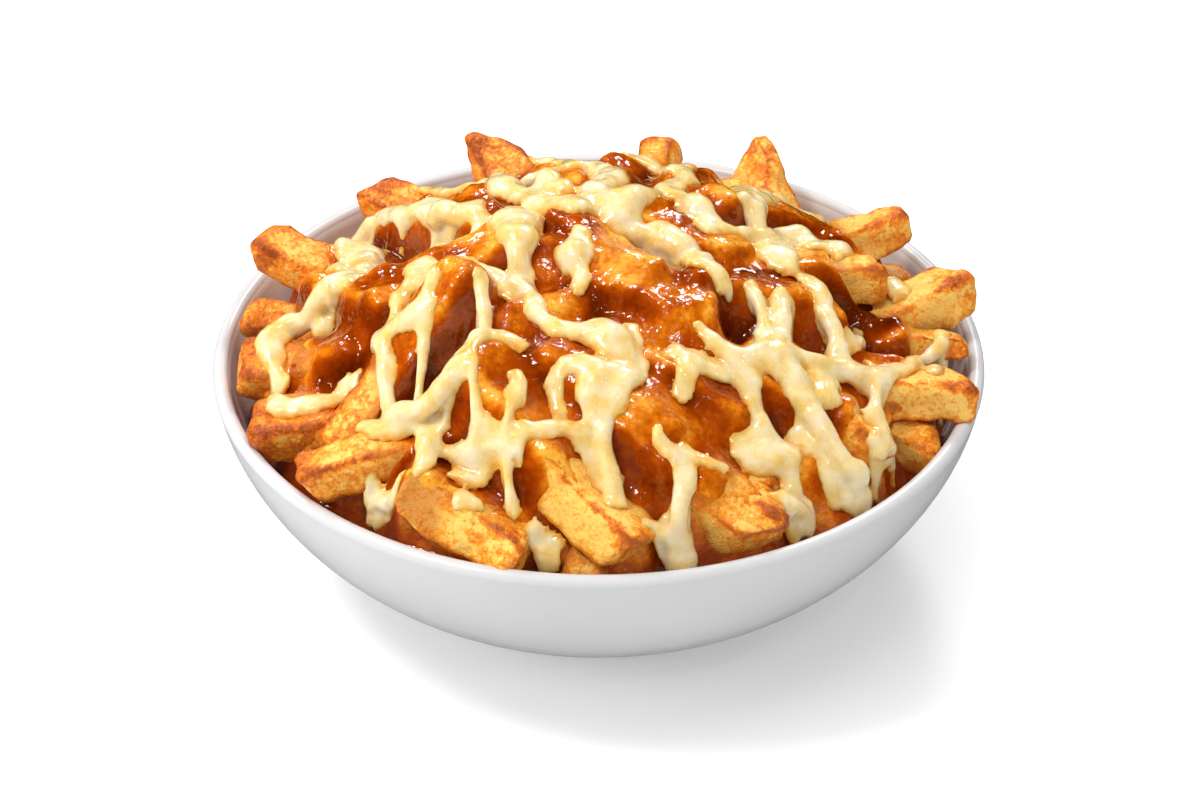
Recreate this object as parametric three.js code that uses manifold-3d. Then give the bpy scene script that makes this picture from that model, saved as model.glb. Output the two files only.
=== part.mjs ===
// Poutine in its serving bowl: thick-cut chips heaped over the rim, a coat of gravy, and a web of melted cheese.
// Millimetres, +Z up. The origin is at the centre of the bowl's foot, on the table. -Y is the side shown to the diner.
import * as THREE from "three";
import { mergeVertices } from "three/addons/utils/BufferGeometryUtils.js";
import Module from "manifold-3d";

const wasm = await Module();
wasm.setup();

// ---------------------------------------------------------------- driving dimensions
const RIM_RADIUS = 110; // outer radius of the bowl
const BOWL_HEIGHT = 66;
const WALL = 4.4; // thickness of the bowl's wall at the lip
const FLOOR = 6.5; // top of the bowl's floor, inside
const FOOT_RADIUS = 50;
const FOOT_HEIGHT = 3;
const FOOT_RECESS = 1.5; // how far the underside is hollowed inside the foot ring
const FOOT_RING = 8; // width of the ring that touches the table
const BELLY_POWER = 1.176; // 1 gives a round belly; more makes it straighter

const HEAP_RISE = 40; // how far the heap stands above the rim
const HEAP_RADIUS = 105; // where the heap's dome comes down to rim level
const HEAP_FORWARD = 9; // the heap's top lies this far in front of the bowl's axis
const CORE_DEPTH = 14; // the core lies this far under the dome
const CORE_RADIUS = 98; // where the core meets the bowl's wall
const GAP = 0.3; // clearance between neighbouring pieces
const GRAVY_THICKNESS = 1.6;
const GRAVY_REACH = 80; // mean radius of the gravy's coat

const BOWL_SEGMENTS = 48;
const RAD = Math.PI / 180;

// ---------------------------------------------------------------- the chips
// A chip that shows: [tip x, tip y, tip z, heading, pitch, length, width, thickness, roll].
// The heading is the compass way that its tip points, from +X towards +Y; a positive pitch lifts the tip. Degrees.
const RIM_CHIPS = [
  [-36, 84, 84, 128, 34, 62, 15, 15, 10],
  [-69, 62, 77, 158, 10, 60, 14, 13, 20],
  [-97, 24, 81, 170, 18, 66, 17, 15, 12],
  [-97, 7, 68, 182, 6, 55, 12, 11, 35],
  [-96, -24, 67, 180, -6, 60, 14, 13, 15],
  [-91, -46, 65, 176, -8, 58, 14, 13, 10],
  [-74, -65, 62, 222, -38, 64, 14, 13, 5],
  [-74, -70, 71, 184, -14, 70, 13, 12, 12],
  [-20, -96, 62, -26, -4, 46, 15, 14, 20],
  [12, -99, 67, -42, -25, 66, 16, 14, 15],
  [44, -91, 67, -36, -26, 66, 17, 15, -10],
  [102, -30, 71, 4, -6, 66, 16, 14, 12],
  [102, 9, 79, 28, 16, 64, 16, 15, 8],
  [88, 40, 77, 18, 3, 62, 15, 15, 15],
  [53, 83, 85, 60, 42, 60, 16, 15, 40],
  [21, 94, 77, 80, 8, 60, 13, 14, 20],
  [78, 2, 85, 12, -4, 60, 14, 14, 10],
  [102, -17, 66, -4, -10, 50, 11, 11, 20],
  [92, -47, 58, -28, -16, 50, 12, 12, 0],
  [-4, -101, 58, -100, -24, 46, 11, 11, 10],
];
const INNER_CHIPS = [
  [22, -70, 84, -55, -22, 52, 14, 14, 15],
  [40, -62, 84, -52, -20, 56, 14, 14, 5],
  [36, -38, 96, -46, -8, 66, 16, 15, 12],
  [-61, -12, 87, 194, -20, 52, 14, 14, 20],
  [-26, -45, 91, -102, -20, 48, 15, 14, 10],
  [-44, -64, 80, -130, -26, 54, 14, 13, 15],
  [0, -72, 86, -80, -20, 54, 14, 14, 30],
  [62, -30, 88, -28, -14, 58, 14, 14, 20],
];
// The rest of the heap lies in rings that point outwards: [how many, first bearing, tip radius, depth under the dome].
const CHIP_RINGS = [
  [2, 70, 24, 12],
  [5, 20, 50, 11],
  [8, 15, 74, 11],
  [12, 12, 97, 7],
];
const RING_CHIP = { length: 58, width: 13.5, thickness: 13 };

// ---------------------------------------------------------------- the cheese
// A strand of melted cheese, seen from above: [from x, from y, to x, to y, width].
const STRANDS = [
  [-28, 10, -50, -2, 9],
  [-50, -2, -74, -12, 9],
  [-74, -12, -93, -20, 8],
  [-60, 14, -64, -6, 8],
  [-28, 10, -22, -26, 8],
  [-46, -22, -52, -44, 9],
  [-52, -44, -50, -62, 9],
  [-50, -4, -46, -22, 8],
  [-22, -26, -8, -52, 8],
  [-8, -52, 16, -62, 8],
  [-28, 10, 0, -14, 8],
  [-24, -56, -46, -66, 8],
  [-46, -66, -74, -50, 7],
  [-46, -66, -44, -82, 8],
  [-8, -52, -24, -56, 8],
  [-20, -96, -20, -70, 8],
  [10, -66, 0, -82, 10],
  [0, -82, -20, -92, 8],
  [16, -62, 10, -66, 9],
  [16, -62, 30, -54, 8],
  [24, -84, 20, -100, 8],
  [34, -40, 48, -64, 9],
  [48, -64, 52, -82, 9],
  [38, -22, 54, -54, 9],
  [54, -54, 72, -72, 10],
  [34, -40, 38, -22, 8],
  [62, -16, 70, -42, 8],
  [70, -42, 102, -14, 8],
  [54, -54, 70, -42, 8],
  [10, 4, 18, -20, 9],
  [18, -20, 38, -22, 9],
  [0, -14, 10, 4, 8],
  [40, 24, 44, -6, 9],
  [44, -6, 38, -22, 8],
  [10, 4, 8, 32, 8],
  [8, 32, 28, 40, 8],
  [8, 32, -20, 34, 8],
  [-28, 10, -20, 34, 8],
  [-20, 34, -44, 54, 8],
  [8, 32, 4, 66, 8],
  [28, 40, 44, 64, 8],
  [40, 24, 28, 40, 8],
];
const STRAND_SIDES = 4;
const STRAND_STEP = 12; // length of a strand between two bends
const STRAND_LIFT = 0.42; // share of its width that a strand's middle stands above what it lies on

// ---------------------------------------------------------------- materials
const finish = (color, roughness) => new THREE.MeshStandardMaterial({ color, roughness, metalness: 0 });
const GLAZE = finish(0xe9e9ea, 0.35);
const FRIED = finish(0xe2982f, 0.55);
const SAUCE = finish(0x8a3f12, 0.2);
const CHEESE = finish(0xf0dfa4, 0.35);

// ---------------------------------------------------------------- solids
function solidOf(geometry, matrix = new THREE.Matrix4()) {
  const loose = geometry.index ? geometry.toNonIndexed() : geometry.clone();
  loose.deleteAttribute("normal");
  loose.deleteAttribute("uv");
  const merged = mergeVertices(loose.applyMatrix4(matrix), 1e-4);
  const vertProperties = merged.attributes.position.array;
  const triVerts = new Uint32Array(merged.index.array);
  return new wasm.Manifold(new wasm.Mesh({ numProp: 3, vertProperties, triVerts }));
}

// The largest body of a solid; crumbs that a cut leaves behind are dropped.
function largest(solid) {
  return solid.decompose().reduce((best, body) => (body.volume() > best.volume() ? body : best));
}

function meshOf(name, solid, material) {
  const { vertProperties, triVerts } = solid.getMesh();
  const geometry = new THREE.BufferGeometry();
  geometry.setAttribute("position", new THREE.BufferAttribute(vertProperties, 3));
  geometry.setIndex(new THREE.BufferAttribute(triVerts, 1));
  geometry.computeVertexNormals();
  const mesh = new THREE.Mesh(geometry, material);
  mesh.name = name;
  return mesh;
}

// A solid of revolution about Z from [radius, height] points that start and end on the axis, bottom first.
function turned(points) {
  const lathe = new THREE.LatheGeometry(points.map(([r, z]) => new THREE.Vector2(r, z)), BOWL_SEGMENTS);
  return solidOf(lathe, new THREE.Matrix4().makeRotationX(90 * RAD));
}

// ---------------------------------------------------------------- the bowl
// A point of the belly's outer curve, from the foot at t = 0 to the rim at t = 1, moved in by a distance.
function bellyPoint(t, inset = 0) {
  const a = (t * Math.PI) / 2;
  const span = RIM_RADIUS - FOOT_RADIUS;
  const rise = BOWL_HEIGHT - FOOT_HEIGHT;
  const r = FOOT_RADIUS + span * Math.sin(a) ** BELLY_POWER;
  const z = FOOT_HEIGHT + rise * (1 - Math.cos(a) ** BELLY_POWER);
  const slopeR = span * Math.sin(a) ** (BELLY_POWER - 1) * Math.cos(a);
  const slopeZ = rise * Math.cos(a) ** (BELLY_POWER - 1) * Math.sin(a);
  const size = Math.hypot(slopeR, slopeZ);
  return [r - (inset * slopeZ) / size, z + (inset * slopeR) / size];
}

const BELLY_STEPS = 6;
const LIP_T = 0.955; // where the belly's curve hands over to the rounded lip
const FLOOR_FILLET = 5; // how far from the wall the flat floor stops

function bowl() {
  const outer = [];
  const inner = [];
  for (let i = 1; i <= BELLY_STEPS; i++) {
    const t = (LIP_T * i) / BELLY_STEPS;
    outer.push(bellyPoint(t));
    const [r, z] = bellyPoint(t, WALL);
    if (z > FLOOR + 1) inner.unshift([r, z]);
  }
  const lip = [];
  const lipRadius = WALL / 2;
  for (const angle of [0, 45, 90, 135, 180]) {
    lip.push([
      RIM_RADIUS - lipRadius + lipRadius * Math.cos(angle * RAD),
      BOWL_HEIGHT - lipRadius + lipRadius * Math.sin(angle * RAD),
    ]);
  }
  return turned([
    [0, FOOT_RECESS],
    [FOOT_RADIUS - FOOT_RING, FOOT_RECESS],
    [FOOT_RADIUS - FOOT_RING + 1, 0],
    [FOOT_RADIUS - 1, 0],
    [FOOT_RADIUS, 1],
    [FOOT_RADIUS, FOOT_HEIGHT],
    ...outer,
    ...lip,
    ...inner,
    [inner.at(-1)[0] - FLOOR_FILLET, FLOOR],
    [0, FLOOR],
  ]);
}

// The room that the food may fill: inside the wall, and out over the lip above it.
function room() {
  const wall = [];
  for (let i = 1; i <= BELLY_STEPS; i++) {
    const [r, z] = bellyPoint((LIP_T * i) / BELLY_STEPS, WALL + GAP);
    if (z > FLOOR + 1 + GAP) wall.push([r - GAP, z]);
  }
  const top = BOWL_HEIGHT + GAP;
  const inside = RIM_RADIUS - WALL - GAP;
  return turned([
    [0, FLOOR + GAP],
    [wall[0][0] - FLOOR_FILLET, FLOOR + GAP],
    ...wall,
    [inside, top - 1],
    [inside + 1, top],
    [RIM_RADIUS - 1, top],
    [RIM_RADIUS - 1, BOWL_HEIGHT + 80],
    [0, BOWL_HEIGHT + 80],
  ]);
}

// ---------------------------------------------------------------- the heap
const domeAt = (r) => BOWL_HEIGHT + HEAP_RISE * (1 - (r / HEAP_RADIUS) ** 2); // r from the heap's top
const domeHeight = (x, y) => domeAt(Math.hypot(x, y + HEAP_FORWARD));

// An uneven but repeatable number from -1 to 1.
function uneven(i, k) {
  const s = Math.sin(i * 12.9898 + k * 78.233) * 43758.5453;
  return 2 * (s - Math.floor(s)) - 1;
}

function ringChips() {
  const chips = [];
  for (const [count, firstBearing, tipRadius, depth] of CHIP_RINGS) {
    for (let i = 0; i < count; i++) {
      const seed = chips.length + 1;
      const bearing = firstBearing + ((i + 0.3 * uneven(seed, 1)) * 360) / count;
      const radius = tipRadius + 3 * uneven(seed, 2);
      const slope = (-2 * HEAP_RISE * radius * 0.55) / HEAP_RADIUS ** 2;
      const [x, y] = [radius * Math.cos(bearing * RAD), radius * Math.sin(bearing * RAD)];
      chips.push([
        x,
        y,
        domeHeight(x, y) - depth + 2 * uneven(seed, 3),
        bearing + 24 * uneven(seed, 4),
        Math.atan(slope) / RAD + 7 * uneven(seed, 5),
        RING_CHIP.length + 8 * uneven(seed, 6),
        RING_CHIP.width + 1.5 * uneven(seed, 7),
        RING_CHIP.thickness + 1.5 * uneven(seed, 8),
        25 * uneven(seed, 9),
      ]);
    }
  }
  return chips;
}

const CHIPS = [...RIM_CHIPS, ...INNER_CHIPS, ...ringChips()];

// The frame of a chip: its tip at the origin, its length along +Z towards the tail, its width along X.
function chipFrame([x, y, z, heading, pitch, , , , roll]) {
  const out = new THREE.Vector3(
    Math.cos(pitch * RAD) * Math.cos(heading * RAD),
    Math.cos(pitch * RAD) * Math.sin(heading * RAD),
    Math.sin(pitch * RAD),
  );
  const back = out.negate();
  const side = new THREE.Vector3(0, 0, 1).cross(back).normalize();
  const up = back.clone().cross(side);
  return new THREE.Matrix4()
    .makeBasis(side, up, back)
    .multiply(new THREE.Matrix4().makeRotationZ(roll * RAD))
    .setPosition(x, y, z);
}

// A chip is a square-cut stick, a little slimmer at the tip.
function chipSolid(chip, grow = 0) {
  const [, , , , , length, width, thickness] = chip;
  const [a, b] = [width / 2 + grow, thickness / 2 + grow];
  const corners = [[a, b], [-a, b], [-a, -b], [a, -b]];
  const section = new THREE.Shape(corners.map(([x, y]) => new THREE.Vector2(x, y)));
  const stick = new THREE.ExtrudeGeometry(section, { depth: length + 2 * grow, steps: 1, bevelEnabled: false });
  const spot = stick.getAttribute("position");
  for (let i = 0; i < spot.count; i++) {
    if (spot.getZ(i) < 1) spot.setXY(i, spot.getX(i) * 0.88, spot.getY(i) * 0.88);
  }
  return solidOf(stick.translate(0, 0, -grow), chipFrame(chip));
}

// The solid of revolution under the chips, from the bowl's floor up to the core's dome, round the heap's top.
function core(grow = 0) {
  const dome = [];
  const steps = 4;
  for (let i = 0; i <= steps; i++) {
    const r = CORE_RADIUS * Math.cos((i / steps) * 90 * RAD);
    dome.push([r < 1e-9 ? 0 : r, domeAt(r) - CORE_DEPTH + grow]);
  }
  const skirt = CORE_RADIUS + 2 * HEAP_FORWARD;
  return turned([[0, 0], [skirt, 0], [skirt, dome[0][1]], ...dome]).translate([0, -HEAP_FORWARD, 0]);
}

const unite = (solids) => wasm.Manifold.union(solids);

function heap(grow = 0) {
  return unite([core(grow), ...CHIPS.map((chip) => chipSolid(chip, grow))]);
}

// ---------------------------------------------------------------- heights over the heap
const CHIP_BOXES = CHIPS.map((chip) => {
  const matrix = chipFrame(chip);
  const [, , , , , length, width, thickness] = chip;
  const box = new THREE.Box3(
    new THREE.Vector3(-width / 2, -thickness / 2, 0),
    new THREE.Vector3(width / 2, thickness / 2, length),
  );
  return { box, matrix, inverse: matrix.clone().invert() };
});

function topAt(x, y) {
  let top = domeHeight(x, y) - CORE_DEPTH;
  for (const { box, matrix, inverse } of CHIP_BOXES) {
    const ray = new THREE.Ray(new THREE.Vector3(x, y, 300), new THREE.Vector3(0, 0, -1));
    const hit = ray.applyMatrix4(inverse).intersectBox(box, new THREE.Vector3());
    if (hit) top = Math.max(top, hit.applyMatrix4(matrix).z);
  }
  return top;
}

// The height of a thick coat: the highest chip within a short reach.
function coatAt(x, y, reach = 4) {
  let top = topAt(x, y);
  for (let k = 0; k < 8; k++) {
    top = Math.max(top, topAt(x + reach * Math.cos(k * 45 * RAD), y + reach * Math.sin(k * 45 * RAD)));
  }
  return top;
}

// ---------------------------------------------------------------- the gravy
const GRAVY_RINGS = 6;
const GRAVY_SPOKES = 26;

// The gravy's outline runs further down the heap at some bearings than at others.
const gravyReach = (a) => GRAVY_REACH + 5 * Math.sin(3 * a + 1) + 3 * Math.sin(7 * a);

// A closed sheet over the heap, between two heights above its coat.
function sheet(low, high) {
  const points = [];
  for (const lift of [high, low]) {
    points.push(0, 0, coatAt(0, 0) + lift);
    for (let ring = 1; ring <= GRAVY_RINGS; ring++) {
      for (let spoke = 0; spoke < GRAVY_SPOKES; spoke++) {
        const a = (spoke * 2 * Math.PI) / GRAVY_SPOKES;
        const r = (gravyReach(a) * ring) / GRAVY_RINGS;
        const [x, y] = [r * Math.cos(a), r * Math.sin(a)];
        points.push(x, y, coatAt(x, y) + lift);
      }
    }
  }
  const faces = [];
  const layer = 1 + GRAVY_RINGS * GRAVY_SPOKES;
  const at = (ring, spoke) => 1 + (ring - 1) * GRAVY_SPOKES + (spoke % GRAVY_SPOKES);
  for (let spoke = 0; spoke < GRAVY_SPOKES; spoke++) {
    const fan = [0, at(1, spoke), at(1, spoke + 1)];
    faces.push(...fan, ...fan.map((v) => v + layer).reverse());
    for (let ring = 1; ring < GRAVY_RINGS; ring++) {
      const [a, b] = [at(ring, spoke), at(ring + 1, spoke)];
      const [c, d] = [at(ring + 1, spoke + 1), at(ring, spoke + 1)];
      for (const face of [[a, b, c], [a, c, d]]) {
        faces.push(...face, ...face.map((v) => v + layer).reverse());
      }
    }
    const [p, q] = [at(GRAVY_RINGS, spoke), at(GRAVY_RINGS, spoke + 1)];
    faces.push(p, p + layer, q + layer, p, q + layer, q);
  }
  const geometry = new THREE.BufferGeometry();
  geometry.setAttribute("position", new THREE.Float32BufferAttribute(points, 3));
  geometry.setIndex(faces);
  return solidOf(geometry);
}

// ---------------------------------------------------------------- the cheese
// A strand sags between the ridges it rests on: it lies on the coat, smoothed along its length.
function strandSolid([x0, y0, x1, y1, width]) {
  const steps = Math.max(2, Math.round(Math.hypot(x1 - x0, y1 - y0) / STRAND_STEP));
  const spots = [];
  for (let i = 0; i <= steps; i++) {
    const t = i / steps;
    const [x, y] = [x0 + (x1 - x0) * t, y0 + (y1 - y0) * t];
    const lift = Math.hypot(x, y) < GRAVY_REACH - 8 ? GRAVY_THICKNESS : 0;
    spots.push(new THREE.Vector3(x, y, coatAt(x, y) + lift + STRAND_LIFT * width));
  }
  const path = new THREE.CatmullRomCurve3(spots);
  const corners = [];
  for (let k = 0; k < STRAND_SIDES; k++) {
    const a = (k / STRAND_SIDES) * 2 * Math.PI;
    corners.push(new THREE.Vector2((width / 2) * Math.cos(a), (width / 2) * Math.sin(a)));
  }
  return solidOf(
    new THREE.ExtrudeGeometry(new THREE.Shape(corners), { steps, extrudePath: path }),
  );
}

// ---------------------------------------------------------------- assembly
const foodRoom = room();
const grownHeap = heap(GAP);
const gravyCover = sheet(-12, GAP + GRAVY_THICKNESS + GAP);

const chips = largest(heap().intersect(foodRoom));
const gravy = largest(sheet(GAP, GAP + GRAVY_THICKNESS).subtract(grownHeap));
const cheese = largest(
  unite(STRANDS.map(strandSolid)).subtract(gravyCover).subtract(grownHeap).intersect(foodRoom),
);

const poutine = new THREE.Group();
poutine.add(meshOf("bowl", bowl(), GLAZE));
poutine.add(meshOf("fries", chips, FRIED));
poutine.add(meshOf("gravy", gravy, SAUCE));
poutine.add(meshOf("cheese", cheese, CHEESE));

export default poutine;
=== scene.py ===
# %% [markdown]
# # Poutine in a white bowl
#
# A white serving bowl is heaped with thick-cut chips. Brown gravy coats the middle of the heap and runs
# down between the chips, and cheese has melted over it into a web. Each of these is a piece of its own. The
# bowl is spun. The chips are sticks shaped one by one. The gravy is a sheet dropped over them. The cheese
# is a set of strands laid on the sheet and melted together. All sizes are in metres, and `MM` is a
# millimetre.

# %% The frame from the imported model
import math

import bpy
import numpy as np
from mathutils import Matrix, Vector, noise
from mathutils.bvhtree import BVHTree


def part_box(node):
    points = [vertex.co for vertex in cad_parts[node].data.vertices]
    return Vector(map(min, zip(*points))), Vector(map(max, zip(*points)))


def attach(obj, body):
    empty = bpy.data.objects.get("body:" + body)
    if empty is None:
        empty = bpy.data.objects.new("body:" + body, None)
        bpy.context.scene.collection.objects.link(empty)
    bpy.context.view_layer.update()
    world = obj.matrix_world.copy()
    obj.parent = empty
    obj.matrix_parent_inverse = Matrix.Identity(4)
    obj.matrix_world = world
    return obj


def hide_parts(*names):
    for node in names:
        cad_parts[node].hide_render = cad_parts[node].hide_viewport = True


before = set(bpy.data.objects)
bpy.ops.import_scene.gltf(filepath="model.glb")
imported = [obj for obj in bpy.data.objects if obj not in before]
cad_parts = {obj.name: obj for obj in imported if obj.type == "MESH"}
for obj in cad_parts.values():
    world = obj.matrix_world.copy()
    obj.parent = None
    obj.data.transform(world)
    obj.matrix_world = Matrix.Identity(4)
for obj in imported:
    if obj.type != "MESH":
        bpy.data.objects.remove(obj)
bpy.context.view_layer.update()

MM = 0.001

# %% [markdown]
# ## Camera, floor and light
#
# The bowl is seen from a little above its rim, as a diner sees it from across a table. The floor is plain
# and pale, and it gives a little light of its own, so that it stays white a long way off. A soft lamp above
# and to the left shapes the food. Wet gravy only looks wet when small bright things reflect in it, so two
# lamps stand behind the bowl and two very small ones in front. Large fill lamps and the white surroundings
# lighten the shadows. Their reflections would lie over the gravy like a veil of milk, so they are kept out
# of the gloss.

# %% Camera
CAMERA_ELEVATION = math.radians(34.9)
CAMERA_DISTANCE = 700 * MM
CAMERA_TARGET = Vector((0.4 * MM, 0, 44.6 * MM))

look = Vector((0, math.cos(CAMERA_ELEVATION), -math.sin(CAMERA_ELEVATION)))
bpy.ops.object.camera_add(
    location=CAMERA_TARGET - CAMERA_DISTANCE * look,
    rotation=(math.radians(90) - CAMERA_ELEVATION, 0, 0),
)
camera = bpy.context.object
camera.data.sensor_width = 36
camera.data.lens = 71.9
bpy.context.scene.camera = camera
print("Camera at", [round(v, 3) for v in camera.location])


# %% Helpers for materials
def new_material(name):
    """A material with its output and one Principled shader, ready for more nodes."""
    material = bpy.data.materials.new(name)
    material.use_nodes = True
    return material, material.node_tree, material.node_tree.nodes["Principled BSDF"]


def fill_inputs(tree, node, values):
    """Sets or links a node's inputs by name or number."""
    for name, value in values.items():
        if isinstance(value, bpy.types.NodeSocket):
            tree.links.new(value, node.inputs[name])
        else:
            node.inputs[name].default_value = value


def add_node(tree, kind, values=None, **settings):
    """Adds a node, sets its properties and fills its inputs."""
    node = tree.nodes.new(kind)
    for name, value in settings.items():
        setattr(node, name, value)
    fill_inputs(tree, node, values or {})
    return node


def add_attribute(tree, name):
    """Reads a number that is stored on the mesh."""
    return add_node(tree, "ShaderNodeAttribute", attribute_name=name).outputs["Fac"]


def add_noise(tree, size, detail=3.0, roughness=0.5):
    """Noise whose lumps are about as large as size, in metres of the object's own space."""
    place = add_node(tree, "ShaderNodeTexCoord")
    values = {"Vector": place.outputs["Object"], "Scale": 1 / size, "Detail": detail, "Roughness": roughness}
    return add_node(tree, "ShaderNodeTexNoise", values).outputs["Fac"]


def add_ramp(tree, value, stops):
    """Turns a value into a colour. Each stop is a place from 0 to 1 and a colour."""
    node = add_node(tree, "ShaderNodeValToRGB", {"Fac": value})
    band = node.color_ramp.elements
    while len(band) < len(stops):
        band.new(0.5)
    for element, (place, colour) in zip(band, stops):
        element.position = place
        element.color = (*colour, 1)
    return node.outputs["Color"]


def add_range(tree, value, low, high, to_low=0.0, to_high=1.0):
    """Stretches low..high of a value to to_low..to_high, and stops there."""
    values = {"Value": value, "From Min": low, "From Max": high, "To Min": to_low, "To Max": to_high}
    return add_node(tree, "ShaderNodeMapRange", values).outputs["Result"]


def add_math(tree, operation, a, b):
    return add_node(tree, "ShaderNodeMath", {0: a, 1: b}, operation=operation).outputs["Value"]


def add_mix(tree, share, a, b):
    """Mixes colour a with colour b. A share of 1 is all b."""
    return add_node(tree, "ShaderNodeMix", {0: share, 6: a, 7: b}, data_type="RGBA").outputs[2]


def add_bump(tree, height, depth, under=None):
    """A bump of the given depth in metres, over another one if given."""
    values = {"Height": height, "Distance": depth, "Strength": 1.0}
    if under is not None:
        values["Normal"] = under
    return add_node(tree, "ShaderNodeBump", values).outputs["Normal"]


# %% Floor
FLOOR_SIZE = 6.0
bpy.ops.mesh.primitive_plane_add(size=FLOOR_SIZE)
floor = bpy.context.object
floor.name = "floor"
floor_material, floor_tree, floor_shader = new_material("pale_floor")
fill_inputs(floor_tree, floor_shader, {
    "Base Color": (0.94, 0.94, 0.94, 1),
    "Roughness": 0.8,
    "Emission Color": (1, 1, 1, 1),
    "Emission Strength": 0.12,
})
floor.data.materials.append(floor_material)
floor.visible_glossy = False
print("Floor", FLOOR_SIZE, "m square")


# %% Light
def add_softbox(name, place, size, power, shows=True):
    """A square lamp that faces the food. One that doesn't show isn't seen in the food's gloss."""
    aim = Vector((0, 0, 80 * MM)) - Vector(place)
    bpy.ops.object.light_add(type="AREA", location=place, rotation=aim.to_track_quat("-Z", "Y").to_euler())
    lamp = bpy.context.object
    lamp.name = name
    lamp.data.size = size
    lamp.data.energy = power
    lamp.visible_glossy = shows


add_softbox("key_left", (-0.55, -0.20, 1.05), 0.24, 5.3)
add_softbox("window_back", (0.25, 0.80, 0.80), 0.20, 4.0)
add_softbox("window_left", (-0.45, 0.55, 0.75), 0.14, 2.0)
add_softbox("front_spark", (0.15, -0.80, 1.00), 0.045, 0.4)
add_softbox("right_spark", (0.75, -0.45, 1.05), 0.05, 0.3)
add_softbox("overhead", (0.05, -0.10, 1.40), 0.80, 6.4, shows=False)
add_softbox("front_fill", (0.20, -1.30, 0.70), 0.70, 2.0, shows=False)
add_softbox("left_fill", (-1.30, -0.20, 0.40), 0.70, 10.0, shows=False)
add_softbox("right_fill", (1.20, -0.60, 0.55), 0.70, 2.0, shows=False)

world = bpy.data.worlds.new("studio")
world.use_nodes = True
fill_inputs(world.node_tree, world.node_tree.nodes["Background"], {"Color": (1, 1, 1, 1), "Strength": 0.38})
world.cycles_visibility.glossy = False
bpy.context.scene.world = world
bpy.context.scene.view_settings.view_transform = "Standard"


# %% [markdown]
# ## The bowl
#
# The bowl is thrown stoneware with a smooth white glaze: a round belly, a soft lip and a low foot ring. It
# could be lathed from a curve with a Screw modifier. Here one vertex is extruded along the profile and spun
# about the axis, which is the same thing done by hand. The profile follows the curve that the CAD model
# uses.

# %% Helpers for modelling
def pick(*pieces):
    """Selects only these objects and makes the first one active."""
    bpy.ops.object.select_all(action="DESELECT")
    for piece in pieces:
        piece.select_set(True)
    bpy.context.view_layer.objects.active = pieces[0]


def smooth(piece):
    pick(piece)
    bpy.ops.object.shade_smooth()


def apply_modifier(piece, kind, **settings):
    """Adds one modifier and applies it at once."""
    pick(piece)
    modifier = piece.modifiers.new(kind.title(), kind)
    for name, value in settings.items():
        setattr(modifier, name, value)
    bpy.ops.object.modifier_apply(modifier=modifier.name)


def read_points(mesh, what="co"):
    """The vertices' places or normals as rows of x, y, z."""
    values = np.empty(len(mesh.vertices) * 3, dtype=np.float32)
    mesh.vertices.foreach_get(what, values)
    return values.reshape(-1, 3).astype(np.float64)


def write_points(mesh, points):
    mesh.vertices.foreach_set("co", np.asarray(points, dtype=np.float32).ravel())
    mesh.update()


def write_attribute(mesh, name, values):
    """Stores one number for each vertex, for a material to read."""
    layer = mesh.attributes.new(name, "FLOAT", "POINT")
    layer.data.foreach_set("value", np.asarray(values, dtype=np.float32))


def ease(value, low, high):
    """0 below low, 1 above high, and a smooth step between. If low is the larger, it runs the other way."""
    t = np.clip((value - low) / (high - low), 0, 1)
    return t * t * (3 - 2 * t)


def finish_piece(piece, name, material):
    """Names a finished piece, gives it its material, and lets it ride on the one body."""
    piece.name = name
    piece.data.name = name
    piece.data.materials.clear()
    piece.data.materials.append(material)
    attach(piece, "root")
    print(name, len(piece.data.vertices), "vertices,", len(piece.data.polygons), "faces")


# %% The bowl's profile
bowl_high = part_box("bowl")[1]
RIM_RADIUS = bowl_high[0]
BOWL_HEIGHT = bowl_high[2]
WALL = 4.4 * MM
FLOOR_TOP = 6.5 * MM
FOOT_RADIUS = 50 * MM
FOOT_HEIGHT = 3 * MM
FOOT_RECESS = 1.5 * MM
FOOT_RING = 8 * MM
FOOT_ROUND = 1.5 * MM
FLOOR_FILLET = 5 * MM
BELLY_POWER = 1.176  # 1 gives a round belly, and more makes it straighter
LIP_T = 0.955  # where the belly's curve hands over to the lip


def belly_point(t, inset=0.0):
    """Radius and height on the belly's curve, moved in by inset. The foot is at 0 and the rim at 1."""
    a = t * math.pi / 2
    span = RIM_RADIUS - FOOT_RADIUS
    rise = BOWL_HEIGHT - FOOT_HEIGHT
    r = FOOT_RADIUS + span * math.sin(a) ** BELLY_POWER
    z = FOOT_HEIGHT + rise * (1 - math.cos(a) ** BELLY_POWER)
    slope_r = span * math.sin(a) ** (BELLY_POWER - 1) * math.cos(a)
    slope_z = rise * math.cos(a) ** (BELLY_POWER - 1) * math.sin(a)
    size = math.hypot(slope_r, slope_z)
    return r - inset * slope_z / size, z + inset * slope_r / size


def arc(centre_r, centre_z, radius, start, end, steps):
    """Points of an arc in the profile, angles in degrees."""
    angles = [math.radians(start + (end - start) * i / steps) for i in range(steps + 1)]
    return [(centre_r + radius * math.cos(a), centre_z + radius * math.sin(a)) for a in angles]


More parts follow.
